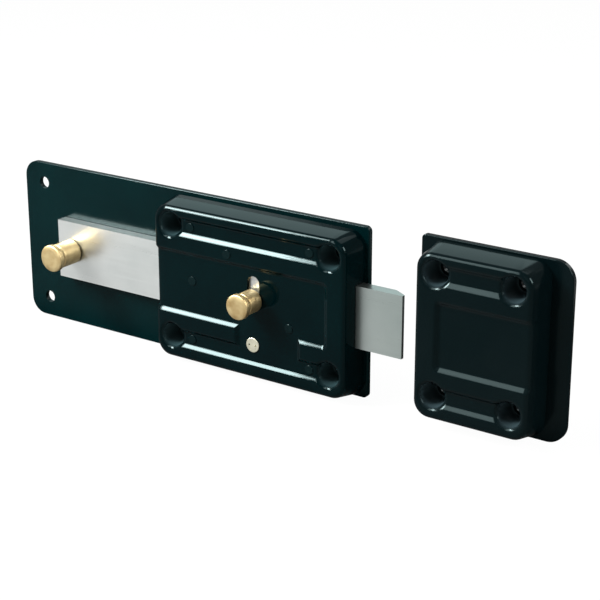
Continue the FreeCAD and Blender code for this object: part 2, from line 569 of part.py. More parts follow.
save(rod(CRANK_PIN_RADIUS, pin_x, pin_z, CRANK_FRONT, PIN_END), "crank_pin")

# Spring arm that presses on the edge of the slide
spring_rear = PIN_END
ring = rod(SPRING_RING_RADIUS, SPRING_POST[0], SPRING_POST[1], spring_front, spring_rear)
tip_x = SLIDE_LEFT - MOVING_GAP - SPRING_TIP_RADIUS
run_x = tip_x - SPRING_POST[0]
run_z = SPRING_TIP_Z - SPRING_POST[1]
strip = box(0.0, math.hypot(run_x, run_z), spring_front, spring_rear, -SPRING_STRIP / 2.0, SPRING_STRIP / 2.0)
strip.rotate(FreeCAD.Vector(0, 0, 0), FreeCAD.Vector(0, -1, 0), math.degrees(math.atan2(run_z, run_x)))
strip.translate(FreeCAD.Vector(SPRING_POST[0], 0, SPRING_POST[1]))
spring = ring.fuse([strip, rod(SPRING_TIP_RADIUS, tip_x, SPRING_TIP_Z, spring_front, spring_rear)])
spring = spring.cut(rod(POST_PIN_RADIUS, SPRING_POST[0], SPRING_POST[1], spring_front, spring_rear))
save(spring.removeSplitter(), "detent_spring")

# Keeper plate
keeper_plate_right = KEEPER_PLATE_LEFT + KEEPER_PLATE_WIDTH
keeper_plate = rounded_plate(KEEPER_PLATE_LEFT, keeper_plate_right, KEEPER_CENTRE_Z - PLATE_HEIGHT / 2.0,
                             KEEPER_CENTRE_Z + PLATE_HEIGHT / 2.0,
                             [KEEPER_PLATE_MOUTH_CORNER, KEEPER_PLATE_CORNER, KEEPER_PLATE_CORNER,
                              KEEPER_PLATE_MOUTH_CORNER], PLATE_FRONT, 0.0)
keeper_plate = soften(keeper_plate, EDGE_ROUND, lies_at(PLATE_FRONT))
for x, z in keeper_pockets:
    keeper_plate = keeper_plate.cut(rod(eyelet_radius, x, z, PLATE_FRONT, 0.0))
save(keeper_plate, "keeper_plate")

# Keeper cover, open towards the bolt
keeper_dishes = [
    (KEEPER_PANEL_LEFT, keeper_cover_right + RUN_OUT, keeper_face_z - PANEL_HALF_HEIGHT,
     keeper_face_z + PANEL_HALF_HEIGHT),
    channel(keeper_pockets_x[0], keeper_pockets_x[1], keeper_face_z, 1.0),
    channel(keeper_pockets_x[0], keeper_pockets_x[1], keeper_face_z, -1.0),
]
keeper_cover = pressed_cover(KEEPER_COVER_LEFT, KEEPER_COVER_WIDTH, KEEPER_CENTRE_Z, keeper_pockets,
                             keeper_dishes)
mouth = box(KEEPER_COVER_LEFT - WALL_CUT, KEEPER_COVER_LEFT + WALL_CUT, PLATE_FRONT - MOUTH_DEPTH,
            PLATE_FRONT, KEEPER_CENTRE_Z - MOUTH_HALF_HEIGHT, KEEPER_CENTRE_Z + MOUTH_HALF_HEIGHT)
keeper_cover = keeper_cover.cut(mouth)
save(keeper_cover, "keeper_cover")
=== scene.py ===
import math

import bmesh
import bpy
from mathutils import Matrix, Vector


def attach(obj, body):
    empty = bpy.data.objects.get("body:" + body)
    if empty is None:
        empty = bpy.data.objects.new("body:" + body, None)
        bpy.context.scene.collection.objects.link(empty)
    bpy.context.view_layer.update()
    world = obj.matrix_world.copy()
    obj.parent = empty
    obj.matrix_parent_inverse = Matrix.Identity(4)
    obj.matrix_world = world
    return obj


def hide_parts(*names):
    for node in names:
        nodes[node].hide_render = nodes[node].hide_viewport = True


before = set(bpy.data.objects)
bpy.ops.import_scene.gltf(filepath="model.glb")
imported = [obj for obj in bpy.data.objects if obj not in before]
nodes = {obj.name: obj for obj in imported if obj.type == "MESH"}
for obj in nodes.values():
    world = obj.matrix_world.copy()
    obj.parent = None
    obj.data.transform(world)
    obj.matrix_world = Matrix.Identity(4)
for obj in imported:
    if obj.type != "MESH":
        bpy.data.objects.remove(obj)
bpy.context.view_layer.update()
MM = 0.001

# Sizes of the lock in millimetres and degrees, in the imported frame: x the way of the throw, -y to the viewer,
# z up. The screw pockets' mouths are 0.6 narrower in radius than in the solids that the covers replace
COVER_FRONT = -20.0
PLATE_FRONT = -3.0
SHEET = 1.5
COVER_HEIGHT = 92.0
COVER_CORNER = 9.0
COVER_DRAFT = 2.4
COVER_RIM = 2.4
RECESS = 1.8
RECESS_SLOPE = 1.6
RECESS_CORNER = 3.0
CASE_SOFTNESS = 0.85
KEEPER_SOFTNESS = 1.3
EVEN_CUTS = 14
PANEL_HALF = 19.3
ROW = 34.1
CHANNEL_HALF = 5.5
FACE_RISE = 1.2
POCKET_INSET = 11.0
POCKET_RADIUS = 6.9
POCKET_FLOOR_RADIUS = 6.0
POCKET_LIP = 2.6
POCKET_TAPER = 0.35
POCKET_FLOOR_FILLET = 0.8
EYELET_SEAT_RADIUS = 3.6
CASE = (-10.0, 122.5)
CASE_Z = -1.25
PANEL_RIGHT = 110.7
BAY = (48.0, 92.7)
KEEPER = (167.0, 235.0)
KEEPER_Z = 2.5
KEEPER_PANEL_LEFT = 179.3
MOUTH_HALF = 25.0
MOUTH_DEPTH = 12.0
PASSAGE_CLEARANCE = 0.4
WALL_REACH = 6.0
BOLT_FRONT = -10.4
BOLT_HALF = 18.1
SLOT_HALF_WIDTH = 4.2
SLOT_TOP = 13.4
LOCK_KNOB = (59.9, -0.8)
LOCK_KNOB_BASE = -18.5
LOCK_KNOB_LENGTH = 15.6
LOCK_KNOB_HEAD_RADIUS = 7.4
TAIL_KNOB = (-83.5, 0.0)
TAIL_KNOB_BASE = -11.2
TAIL_KNOB_LENGTH = 19.1
TAIL_KNOB_HEAD_RADIUS = 8.3
KNOB_BODY_SHARE = 0.9
KNOB_NECK_SHARE = 0.74
KNOB_HEAD_LENGTH = 3.6
KNOB_GROOVE = 1.3
KNOB_ROUND_OVER = 0.8
KNOB_BORE_RADIUS = 3.0
KNOB_BORE_DEPTH = 9.0
BARREL = (59.5, -27.9)
BARREL_HOLE = 4.4
SHARP_FROM = 32.0

# Viewpoint: angles in degrees, lengths in millimetres
VIEW_AZIMUTH = 35.10
VIEW_ELEVATION = 19.42
VIEW_DISTANCE = 943.3
VIEW_LENS = 100.37
VIEW_AIM = (81.5, -3.0, -0.72)

# Studio: the floor's level; its painted shadow of the lock, seen only in reflections as a darker band under
# and behind the lock; and how bright things are in a mirror
FLOOR_LEVEL = -51.2
PAINTED_SHADOW_CENTRE = 95.0
PAINTED_SHADOW_INNER = 100.0
PAINTED_SHADOW_OUTER = 135.0
PAINTED_SHADOW_SHARE = 0.05
FLOOR_MIRRORED = 0.66
WORLD_MIRRORED = 0.5
WORLD_AMBIENT = 0.15
LAMP_CENTRE = (0.07, 0.0, 0.0)


# Colour and node helpers
def linear(hex_colour):
    channels = [int(hex_colour[i:i + 2], 16) / 255.0 for i in (1, 3, 5)]
    return [c / 12.92 if c <= 0.04045 else ((c + 0.055) / 1.055) ** 2.4 for c in channels] + [1.0]


def add(tree, kind, settings=None, **links):
    """Adds a node; settings are its properties or sockets, links join sockets to other nodes' outputs."""
    node = tree.nodes.new(kind)
    for key, value in (settings or {}).items():
        if isinstance(key, str) and hasattr(node, key):
            setattr(node, key, value)
        else:
            node.inputs[key].default_value = value
    for key, output in links.items():
        numbered = key[0] == "i" and key[1:].isdigit()
        socket = node.inputs[int(key[1:]) if numbered else key.replace("_", " ")]
        tree.links.new(output, socket)
    return node


def new_material(name, settings):
    material = bpy.data.materials.new(name)
    material.use_nodes = True
    tree = material.node_tree
    shader = tree.nodes["Principled BSDF"]
    for key, value in settings.items():
        shader.inputs[key].default_value = value
    where = add(tree, "ShaderNodeTexCoord")
    return material, tree, shader, where.outputs["Object"]


def ramp(tree, source, stops):
    node = add(tree, "ShaderNodeValToRGB", {}, Fac=source)
    node.color_ramp.elements[0].position = stops[0][0]
    node.color_ramp.elements[0].color = linear(stops[0][1])
    node.color_ramp.elements[1].position = stops[-1][0]
    node.color_ramp.elements[1].color = linear(stops[-1][1])
    for place, colour in stops[1:-1]:
        node.color_ramp.elements.new(place).color = linear(colour)
    return node


def enamel(name, deep, pale, glossiest=0.05, dullest=0.11, pocket_painted_light=None):
    # Stove enamel, sprayed and baked on pressed steel: deep, wet-looking gloss over faint orange peel; down in
    # the screw pockets the coat is painted paler, painted light that lifts the dark there, and is duller. The
    # low specular level, under that of a real enamel, holds back the reflections of the strong lamps
    material, tree, shader, place = new_material(name, {
        "Roughness": 0.08, "Specular IOR Level": 0.07, "Specular Tint": linear("#dcffff")})
    drift = add(tree, "ShaderNodeTexNoise", {"Scale": 1 / (40 * MM), "Detail": 2.0}, Vector=place)
    shade = ramp(tree, drift.outputs["Fac"], [(0.35, deep), (0.65, pale)])
    colour = shade.outputs["Color"]
    gloss = add(tree, "ShaderNodeTexNoise", {"Scale": 1 / (9 * MM), "Detail": 3.0}, Vector=place)
    rough = add(tree, "ShaderNodeMapRange", {"To Min": glossiest, "To Max": dullest},
                Value=gloss.outputs["Fac"])
    if pocket_painted_light:
        # The pocket colour is painted light: a paler coat that lifts the dark down in the screw pockets, which
        # are also duller
        pocket_share = add(tree, "ShaderNodeAttribute", {"attribute_name": "pocket_painted_light_and_dullness"})
        colour = add(tree, "ShaderNodeMix", {"data_type": "RGBA", 7: linear(pocket_painted_light)}, i0=pocket_share.outputs["Fac"],
                     i6=colour).outputs[2]
        rough = add(tree, "ShaderNodeMapRange", {"To Max": 0.42}, Value=pocket_share.outputs["Fac"],
                    To_Min=rough.outputs["Result"])
    tree.links.new(colour, shader.inputs["Base Color"])
    tree.links.new(rough.outputs["Result"], shader.inputs["Roughness"])
    peel = add(tree, "ShaderNodeTexNoise", {"Scale": 1 / (2.2 * MM), "Detail": 2.0}, Vector=place)
    swell = add(tree, "ShaderNodeTexNoise", {"Scale": 1 / (22 * MM), "Detail": 1.0}, Vector=place)
    fine = add(tree, "ShaderNodeBump", {"Strength": 0.25, "Distance": 0.00003}, Height=peel.outputs["Fac"])
    broad = add(tree, "ShaderNodeBump", {"Strength": 0.5, "Distance": 0.0002}, Height=swell.outputs["Fac"],
                Normal=fine.outputs["Normal"])
    tree.links.new(broad.outputs["Normal"], shader.inputs["Normal"])
    return material


def zinc(name, pale, dull, roughness, tail=None, nose=None):
    # Zinc-plated bright-drawn steel: cool silver, fine drawing lines along the bar, slightly cloudy. The bolt's
    # colour carries painted light and shade: lighter at its tail, darker and greyed green at its nose by the
    # case
    material, tree, shader, place = new_material(name, {"Metallic": 1.0, "Roughness": roughness})
    cloud = add(tree, "ShaderNodeTexNoise", {"Scale": 1 / (25 * MM), "Detail": 4.0}, Vector=place)
    shade = ramp(tree, cloud.outputs["Fac"], [(0.3, dull), (0.7, pale)]).outputs["Color"]
    # Painted light and shade along the bolt: lighter towards the tail, painted shade darker near the case at
    # the nose
    if tail:
        parts = add(tree, "ShaderNodeSeparateXYZ", {}, Vector=place)
        along = add(tree, "ShaderNodeMapRange", {"From Min": -95 * MM, "From Max": 155 * MM},
                    Value=parts.outputs["X"])
        painted_light_along_bar = ramp(tree, along.outputs["Result"], [(0.0, tail), (0.45, dull), (1.0, nose)])
        shade = add(tree, "ShaderNodeMix", {"data_type": "RGBA", "blend_type": "MULTIPLY", 0: 1.0}, i6=shade,
                    i7=painted_light_along_bar.outputs["Color"]).outputs[2]
    tree.links.new(shade, shader.inputs["Base Color"])
    lengthwise = add(tree, "ShaderNodeMapping", {"Scale": (0.02, 1.0, 1.0)}, Vector=place)
    drawn = add(tree, "ShaderNodeTexNoise", {"Scale": 1 / (0.6 * MM), "Detail": 3.0},
                Vector=lengthwise.outputs["Vector"])
    rough = add(tree, "ShaderNodeMapRange", {"To Min": roughness - 0.04, "To Max": roughness + 0.08},
                Value=drawn.outputs["Fac"])
    tree.links.new(rough.outputs["Result"], shader.inputs["Roughness"])
    scratch = add(tree, "ShaderNodeBump", {"Strength": 0.2, "Distance": 0.00002}, Height=drawn.outputs["Fac"])
    tree.links.new(scratch.outputs["Normal"], shader.inputs["Normal"])
    return material


def brass(name, pale, deep):
    # Brass turned on a lathe, its polish worn to a satin: warm yellow, soft highlights, a trace of tool rings;
    # the key barrel's is paler
    material, tree, shader, place = new_material(name, {"Metallic": 1.0, "Roughness": 0.46})
    tarnish = add(tree, "ShaderNodeTexNoise", {"Scale": 1 / (6 * MM), "Detail": 4.0}, Vector=place)
    shade = ramp(tree, tarnish.outputs["Fac"], [(0.3, deep), (0.62, pale)])
    tree.links.new(shade.outputs["Color"], shader.inputs["Base Color"])
    rough = add(tree, "ShaderNodeMapRange", {"To Min": 0.38, "To Max": 0.54}, Value=tarnish.outputs["Fac"])
    tree.links.new(rough.outputs["Result"], shader.inputs["Roughness"])
    rings = add(tree, "ShaderNodeTexWave", {"Scale": 1 / (3.2 * MM), "bands_direction": "Y", "Distortion": 0.4},
                Vector=place)
    grooves = add(tree, "ShaderNodeBump", {"Strength": 1.0, "Distance": 0.0001}, Height=rings.outputs["Fac"])
    tree.links.new(grooves.outputs["Normal"], shader.inputs["Normal"])
    return material


def spring_steel(name):
    # Blued spring steel: dark grey-blue metal with an even satin
    material, tree, shader, place = new_material(name, {"Metallic": 1.0, "Roughness": 0.3})
    bloom = add(tree, "ShaderNodeTexNoise", {"Scale": 1 / (5 * MM), "Detail": 3.0}, Vector=place)
    shade = ramp(tree, bloom.outputs["Fac"], [(0.3, "#5a5f68"), (0.7, "#7b8087")])
    tree.links.new(shade.outputs["Color"], shader.inputs["Base Color"])
    return material


# The last colour given to the lock's and the keeper's enamel is painted light down in the screw pockets
lock_enamel = enamel("green_black_stove_enamel", "#000405", "#000607", pocket_painted_light="#172426")
plate_enamel = enamel("green_stove_enamel_on_plate", "#000809", "#000b0c", 0.14, 0.24)
# The rivet heads bear the cover's enamel, written lighter here as a painted sheen so that they read as pale
# discs
rivet_enamel_with_painted_sheen = enamel("green_stove_enamel_on_rivets", "#010708", "#020a0b", 0.15, 0.26)
keeper_enamel = enamel("black_stove_enamel", "#010506", "#020607", 0.12, 0.2, "#1c2629")
bolt_zinc = zinc("bright_zinc_plate", "#f4f5f4", "#e6e9e8", 0.28, "#e2e4e3", "#aab4b1")
works_zinc = zinc("dull_zinc_plate", "#c4c7c6", "#aeb2b2", 0.3)
knob_brass = brass("turned_brass", "#ad9c74", "#9b845a")
barrel_brass = brass("pale_worn_brass", "#b9b7a4", "#a3a190")
blued_steel = spring_steel("blued_spring_steel")


# Mesh helpers
def finish_mesh(name, bm, material, body, replaced):
    """Makes bm a piece, smooth over its gentle edges, on its body and in place of the nodes it replaces."""
    mesh = bpy.data.meshes.new(name)
    bm.to_mesh(mesh)
    bm.free()
    mesh.materials.append(material)
    mesh.polygons.foreach_set("use_smooth", [True] * len(mesh.polygons))
    mesh.set_sharp_from_angle(angle=math.radians(SHARP_FROM))
    piece = bpy.data.objects.new(name, mesh)
    bpy.context.scene.collection.objects.link(piece)
    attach(piece, body)
    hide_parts(*replaced)
    return piece


def box_form(x0, x1, y0, y1, z0, z1):
    bm = bmesh.new()
    bmesh.ops.create_cube(bm, size=1.0)
    bmesh.ops.scale(bm, vec=((x1 - x0) * MM, (y1 - y0) * MM, (z1 - z0) * MM), verts=bm.verts)
    bmesh.ops.translate(bm, vec=((x0 + x1) * MM / 2, (y0 + y1) * MM / 2, (z0 + z1) * MM / 2), verts=bm.verts)
    return bm


def rod_form(radius, x, z, y0, y1, segments=48):
    bm = bmesh.new()
    bmesh.ops.create_cone(bm, cap_ends=True, segments=segments, radius1=radius * MM, radius2=radius * MM,
                          depth=(y1 - y0) * MM)
    bmesh.ops.rotate(bm, cent=(0, 0, 0), matrix=Matrix.Rotation(math.pi / 2, 3, "X"), verts=bm.verts)
    bmesh.ops.translate(bm, vec=(x * MM, (y0 + y1) * MM / 2, z * MM), verts=bm.verts)
    return bm


def carve(bm, cutters):
    """Cuts each closed form out of bm with an exact boolean."""
    def as_object(form, name):
        mesh = bpy.data.meshes.new(name)
        form.to_mesh(mesh)
        form.free()
        made = bpy.data.objects.new(name, mesh)
        bpy.context.scene.collection.objects.link(made)
        return made
    target = as_object(bm, "blank")
    tools = [as_object(form, "cutter") for form in cutters]
    for tool in tools:
        cut = target.modifiers.new("cut", "BOOLEAN")
        cut.operation = "DIFFERENCE"
        cut.solver = "EXACT"
        cut.object = tool
    bpy.context.view_layer.update()
    evaluated = target.evaluated_get(bpy.context.evaluated_depsgraph_get())
    result = bmesh.new()
    result.from_mesh(evaluated.to_mesh())
    evaluated.to_mesh_clear()
    for made in [target] + tools:
        bpy.data.objects.remove(made)
    return result


def edges_where(bm, test):
    return [e for e in bm.edges if all(test(v.co / MM) for v in e.verts)]


def round_off(bm, edges, radius, segments):
    bmesh.ops.bevel(bm, geom=edges, offset=radius * MM, segments=segments, profile=0.5, affect="EDGES",
                    material=-1, clamp_overlap=True)


# Pressed covers
def rect_distance(x, z, x0, x1, z0, z1, corner):
    """Signed distance to a rounded rectangle, negative inside."""
    dx = abs(x - (x0 + x1) / 2) - (x1 - x0) / 2 + corner
    dz = abs(z - (z0 + z1) / 2) - (z1 - z0) / 2 + corner
    return math.hypot(max(dx, 0.0), max(dz, 0.0)) + min(max(dx, dz), 0.0) - corner


def soft_step(t):
    t = min(max(t, 0.0), 1.0)
    return t * t * (3 - 2 * t)


def dish_depth(x, z, dishes, softness):
    """How far the press has sunk the sheet at x, z."""
    depth = 0.0
    for dish in dishes:
        inside = softness - rect_distance(x, z, *dish, RECESS_CORNER)
        depth = max(depth, RECESS * soft_step(inside / (RECESS_SLOPE + 2 * softness)))
    return depth


def rim_drop(x, z, outline):
    """How far the rounded rim of the cover has fallen at x, z."""
    inside = min(max(-rect_distance(x, z, *outline, COVER_CORNER), 0.0), COVER_RIM)
    return COVER_RIM - math.sqrt(COVER_RIM ** 2 - (COVER_RIM - inside) ** 2)


def cover_shell(x0, x1, z0, z1):
    """Open-backed thin box with drafted walls, rounded corners and a rounded front rim."""
    bm = box_form(x0 - COVER_DRAFT, x1 + COVER_DRAFT, COVER_FRONT, PLATE_FRONT,
                  z0 - COVER_DRAFT, z1 + COVER_DRAFT)
    front = [v for v in bm.verts if v.co.y / MM < PLATE_FRONT - 1]
    for v in front:
        v.co.x += math.copysign(COVER_DRAFT * MM, (x0 + x1) / 2 * MM - v.co.x)
        v.co.z += math.copysign(COVER_DRAFT * MM, (z0 + z1) / 2 * MM - v.co.z)
    upright = [e for e in bm.edges if abs(e.verts[0].co.y - e.verts[1].co.y) > 5 * MM]
    round_off(bm, upright, COVER_CORNER, 10)
    round_off(bm, edges_where(bm, lambda p: p.y < COVER_FRONT + 0.01), COVER_RIM, 6)
    rear = [f for f in bm.faces if all(v.co.y / MM > PLATE_FRONT - 0.01 for v in f.verts)]
    bmesh.ops.delete(bm, geom=rear, context="FACES")
    bmesh.ops.recalc_face_normals(bm, faces=bm.faces)
    bmesh.ops.solidify(bm, geom=bm.faces[:], thickness=SHEET * MM)
    for v in bm.verts:
        v.co.y = min(v.co.y, PLATE_FRONT * MM)
    return bm


def press_lines(walls):
    """Places of the fine cuts across each dish wall, given as (place, inward direction)."""
    steps = (-1.4, -1.1, -0.8, -0.5, -0.2, 0.1, 0.4, 0.7, 1.0, 1.3, 1.6, 1.9, 2.2, 2.6, 3.2, 4.0)
    return [place + inward * step for place, inward in walls for step in steps]


def press(bm, dishes, softness, x_walls, z_walls):
    """Cuts the sheet finely across the dish walls and sinks it into the dishes."""
    left, right = (min(v.co.x for v in bm.verts) / MM, max(v.co.x for v in bm.verts) / MM)
    spread = [left + (right - left) * i / EVEN_CUTS for i in range(1, EVEN_CUTS)]
    for axis, lines in ((0, press_lines(x_walls) + spread), (2, press_lines(z_walls))):
        normal = [0.0, 0.0, 0.0]
        normal[axis] = 1.0
        for line in lines:
            point = [0.0, 0.0, 0.0]
            point[axis] = line * MM
            bmesh.ops.bisect_plane(bm, geom=bm.verts[:] + bm.edges[:] + bm.faces[:], dist=1e-7, plane_co=point,
                                   plane_no=normal)
    wall_top = COVER_FRONT + COVER_RIM + 0.05
    for v in bm.verts:
        if v.co.y / MM < wall_top:
            v.co.y += dish_depth(v.co.x / MM, v.co.z / MM, dishes, softness) * MM


def pocket_cup(cx, cz, outline, dishes, softness):
    """Drawn cup of a screw pocket: a soft lip on the sheet, a coned wall and a pierced floor."""
    floor = PLATE_FRONT - SHEET
    turns = [math.radians(degrees) for degrees in range(0, 91, 15)]
    lip = [(POCKET_RADIUS + POCKET_LIP * (1 - math.sin(a)), COVER_FRONT - 0.02 + POCKET_LIP * (1 - math.cos(a)))
           for a in turns]
    profile = lip + [
        (POCKET_RADIUS - POCKET_TAPER, COVER_FRONT + 5.0),
        (POCKET_FLOOR_RADIUS + 0.15, floor - 1.0),
        (POCKET_FLOOR_RADIUS - 0.25, floor - 0.3),
        (POCKET_FLOOR_RADIUS - POCKET_FLOOR_FILLET, floor),
        (EYELET_SEAT_RADIUS, floor),
        (EYELET_SEAT_RADIUS, PLATE_FRONT),
        (POCKET_FLOOR_RADIUS + SHEET * 0.6, PLATE_FRONT),
        (POCKET_RADIUS + SHEET * 0.6, COVER_FRONT + 3.4),
        (POCKET_RADIUS + POCKET_LIP, COVER_FRONT + 0.4),
    ]
    bm = bmesh.new()
    ring = [bm.verts.new(((cx + r) * MM, y * MM, cz * MM)) for r, y in profile]
    edges = [bm.edges.new((ring[i], ring[(i + 1) % len(ring)])) for i in range(len(ring))]
    bmesh.ops.spin(bm, geom=ring + edges, cent=(cx * MM, 0, cz * MM), axis=(0, 1, 0), angle=math.tau, steps=64,
                   use_merge=True)
    bmesh.ops.remove_doubles(bm, verts=bm.verts, dist=1e-7)
    # Share of the pocket's painted light and duller finish, from nought at the lip's edge to full down the wall
    pocket_share = bm.verts.layers.float.new("pocket_painted_light_and_dullness")
    for v in bm.verts:
        x, y, z = v.co / MM
        v[pocket_share] = soft_step((y - COVER_FRONT - 0.2) / POCKET_LIP)
        hold = 1.0 - soft_step((y - COVER_FRONT - 1.0) / 6.0)
        v.co.y += (dish_depth(x, z, dishes, softness) + rim_drop(x, z, outline)) * hold * MM
    bmesh.ops.recalc_face_normals(bm, faces=bm.faces)
    return bm


def join_forms(first, others):
    """Adds the other forms to the first, each as it is."""
    for other in others:
        scratch = bpy.data.meshes.new("scratch")
        other.to_mesh(scratch)
        other.free()
        first.from_mesh(scratch)
        bpy.data.meshes.remove(scratch)
    return first


def pressed_cover(name, node, x0, x1, centre_z, dishes, softness, x_walls, z_walls, pockets, cuts,
                  material):
    z0, z1 = centre_z - COVER_HEIGHT / 2, centre_z + COVER_HEIGHT / 2
    outline = (x0, x1, z0, z1)
    shell = cover_shell(x0, x1, z0, z1)
    holes = [rod_form(POCKET_RADIUS + POCKET_LIP - 0.2, cx, cz, COVER_FRONT - 2, COVER_FRONT + 6, 64)
             for cx, cz in pockets]
    shell = carve(shell, holes + cuts)
    press(shell, dishes, softness, x_walls, z_walls)
    # The sheet itself has no share of the painted pocket light
    shell.verts.layers.float.new("pocket_painted_light_and_dullness")
    cups = [pocket_cup(cx, cz, outline, dishes, softness) for cx, cz in pockets]
    return finish_mesh(name, join_forms(shell, cups), material, "case", [node])


def row_channels(x0, x1, face_z):
    """The upper and lower channels of a cover, each running from pocket to pocket."""
    return [(x0 + POCKET_INSET, x1 - POCKET_INSET, face_z + side * ROW - CHANNEL_HALF,
             face_z + side * ROW + CHANNEL_HALF) for side in (-1, 1)]


def row_walls(face_z):
    """Level dish walls of a cover, each with the direction that leads into its dish."""
    channel_walls = [(face_z + side * ROW + half * CHANNEL_HALF, -half) for side in (-1, 1) for half in (-1, 1)]
    return [(face_z - PANEL_HALF, 1), (face_z + PANEL_HALF, -1)] + channel_walls


def row_pockets(x0, x1, face_z):
    """Centres of the four screw pockets of a cover."""
    return [(x, face_z + side * ROW) for x in (x0 + POCKET_INSET, x1 - POCKET_INSET) for side in (-1, 1)]


def wall_passage(x):
    """Opening in an end wall of the case that lets the bolt through."""
    half = BOLT_HALF + PASSAGE_CLEARANCE
    return box_form(x - WALL_REACH, x + WALL_REACH, BOLT_FRONT - PASSAGE_CLEARANCE, PLATE_FRONT + 1,
                    -half, half)


case_face = CASE_Z + FACE_RISE
panel = (CASE[0] - 8, PANEL_RIGHT, case_face - PANEL_HALF, case_face + PANEL_HALF)
bay = (BAY[0], BAY[1], case_face - ROW, case_face - PANEL_HALF + 6)
slot_low, slot_high = LOCK_KNOB[1], SLOT_TOP - SLOT_HALF_WIDTH
case_cuts = [
    rod_form(SLOT_HALF_WIDTH, LOCK_KNOB[0], slot_high, COVER_FRONT - 3, PLATE_FRONT - 6, 40),
    rod_form(SLOT_HALF_WIDTH, LOCK_KNOB[0], slot_low, COVER_FRONT - 3, PLATE_FRONT - 6, 40),
    box_form(LOCK_KNOB[0] - SLOT_HALF_WIDTH, LOCK_KNOB[0] + SLOT_HALF_WIDTH, COVER_FRONT - 3, PLATE_FRONT - 6,
             slot_low, slot_high),
    rod_form(BARREL_HOLE, BARREL[0], BARREL[1], COVER_FRONT - 3, PLATE_FRONT - 6, 40),
    wall_passage(CASE[0]), wall_passage(CASE[1]),
]
pressed_cover(
    "case_pressing", "case_cover", CASE[0], CASE[1], CASE_Z,
    [panel, bay] + row_channels(CASE[0], CASE[1], case_face), CASE_SOFTNESS,
    [(PANEL_RIGHT, -1), (BAY[0], 1), (BAY[1], -1)], row_walls(case_face),
    row_pockets(CASE[0], CASE[1], case_face), case_cuts, lock_enamel)

keeper_face = KEEPER_Z + FACE_RISE
keeper_panel = (KEEPER_PANEL_LEFT, KEEPER[1] + 8, keeper_face - PANEL_HALF, keeper_face + PANEL_HALF)
keeper_mouth = box_form(KEEPER[0] - 7, KEEPER[0] + WALL_REACH, PLATE_FRONT - MOUTH_DEPTH, PLATE_FRONT + 1,
                        KEEPER_Z - MOUTH_HALF, KEEPER_Z + MOUTH_HALF)
pressed_cover(
    "keeper_pressing", "keeper_cover", KEEPER[0], KEEPER[1], KEEPER_Z,
    [keeper_panel] + row_channels(KEEPER[0], KEEPER[1], keeper_face), KEEPER_SOFTNESS,
    [(KEEPER_PANEL_LEFT, 1)], row_walls(keeper_face),
    row_pockets(KEEPER[0], KEEPER[1], keeper_face), [keeper_mouth], keeper_enamel)


# Turned knobs
def arc(cx, cy, radius, start, stop, steps=6):
    angles = [math.radians(start + (stop - start) * i / steps) for i in range(steps + 1)]
    return [(cx + radius * math.cos(a), cy + radius * math.sin(a)) for a in angles]


def turned_knob(name, node, place, base, length, head, body_owner):
    """Knob spun round y: bored foot, body with eased ends, undercut groove, head with a faintly domed face."""
    front = base - length
    body, neck, round_over = head * KNOB_BODY_SHARE, head * KNOB_NECK_SHARE, KNOB_ROUND_OVER
    head_rear = front + KNOB_HEAD_LENGTH
    groove_rear = head_rear + KNOB_GROOVE
    profile = [(KNOB_BORE_RADIUS, base)]
    profile += arc(body - round_over, base - round_over, round_over, 90, 0)
    profile += arc(body - round_over, groove_rear + round_over, round_over, 0, -90)
    profile += [(neck, groove_rear), (neck, head_rear)]
    profile += arc(head - 0.5, head_rear - 0.5, 0.5, 90, 0)
    profile += arc(head - 1.0, front + 1.0, 1.0, 0, -75)
    profile += [(head * 0.6, front - 0.02), (head * 0.3, front), (0.0, front)]
    profile += [(0.0, base - KNOB_BORE_DEPTH), (KNOB_BORE_RADIUS, base - KNOB_BORE_DEPTH)]
    profile = [(r, max(y, front)) for r, y in profile]
    bm = bmesh.new()
    ring = [bm.verts.new(((place[0] + r) * MM, y * MM, place[1] * MM)) for r, y in profile]
    edges = [bm.edges.new((a, b)) for a, b in zip(ring, ring[1:])]
    edges.append(bm.edges.new((ring[-1], ring[0])))
    bmesh.ops.spin(bm, geom=ring + edges, cent=(place[0] * MM, 0, place[1] * MM), axis=(0, 1, 0),
                   angle=math.tau, steps=96, use_merge=True)
    bmesh.ops.remove_doubles(bm, verts=bm.verts, dist=1e-6)
    bmesh.ops.recalc_face_normals(bm, faces=bm.faces)
    return finish_mesh(name, bm, knob_brass, body_owner, [node])


turned_knob("tail_knob_turned", "tail_knob", TAIL_KNOB, TAIL_KNOB_BASE, TAIL_KNOB_LENGTH,
            TAIL_KNOB_HEAD_RADIUS, "bolt")
turned_knob("lock_knob_turned", "lock_knob", LOCK_KNOB, LOCK_KNOB_BASE, LOCK_KNOB_LENGTH,
            LOCK_KNOB_HEAD_RADIUS, "slide")

# Finishes of the pieces that keep their own solids
finishes = {
    "backplate": plate_enamel, "keeper_plate": keeper_enamel, "screw_eyelets": lock_enamel,
    "guide_post_upper": rivet_enamel_with_painted_sheen, "guide_post_lower": rivet_enamel_with_painted_sheen, "spring_post": rivet_enamel_with_painted_sheen,
    "spacer_posts": rivet_enamel_with_painted_sheen,
    "bolt_bar": bolt_zinc, "bolt_staple_tail": works_zinc, "bolt_staple_nose": works_zinc,
    "staple_rivets": works_zinc, "slot_plate": works_zinc, "tail_knob_stud": works_zinc,
    "lock_knob_stud": works_zinc, "locking_slide": works_zinc, "locking_tooth": works_zinc,
    "barrel_crank": works_zinc, "crank_pin": works_zinc,
    "barrel_bush": knob_brass, "tail_knob_washer": knob_brass, "key_barrel": barrel_brass,
    "detent_spring": blued_steel, "barrel_clip": blued_steel,
}
for name, material in finishes.items():
    nodes[name].data.materials.clear()
    nodes[name].data.materials.append(material)

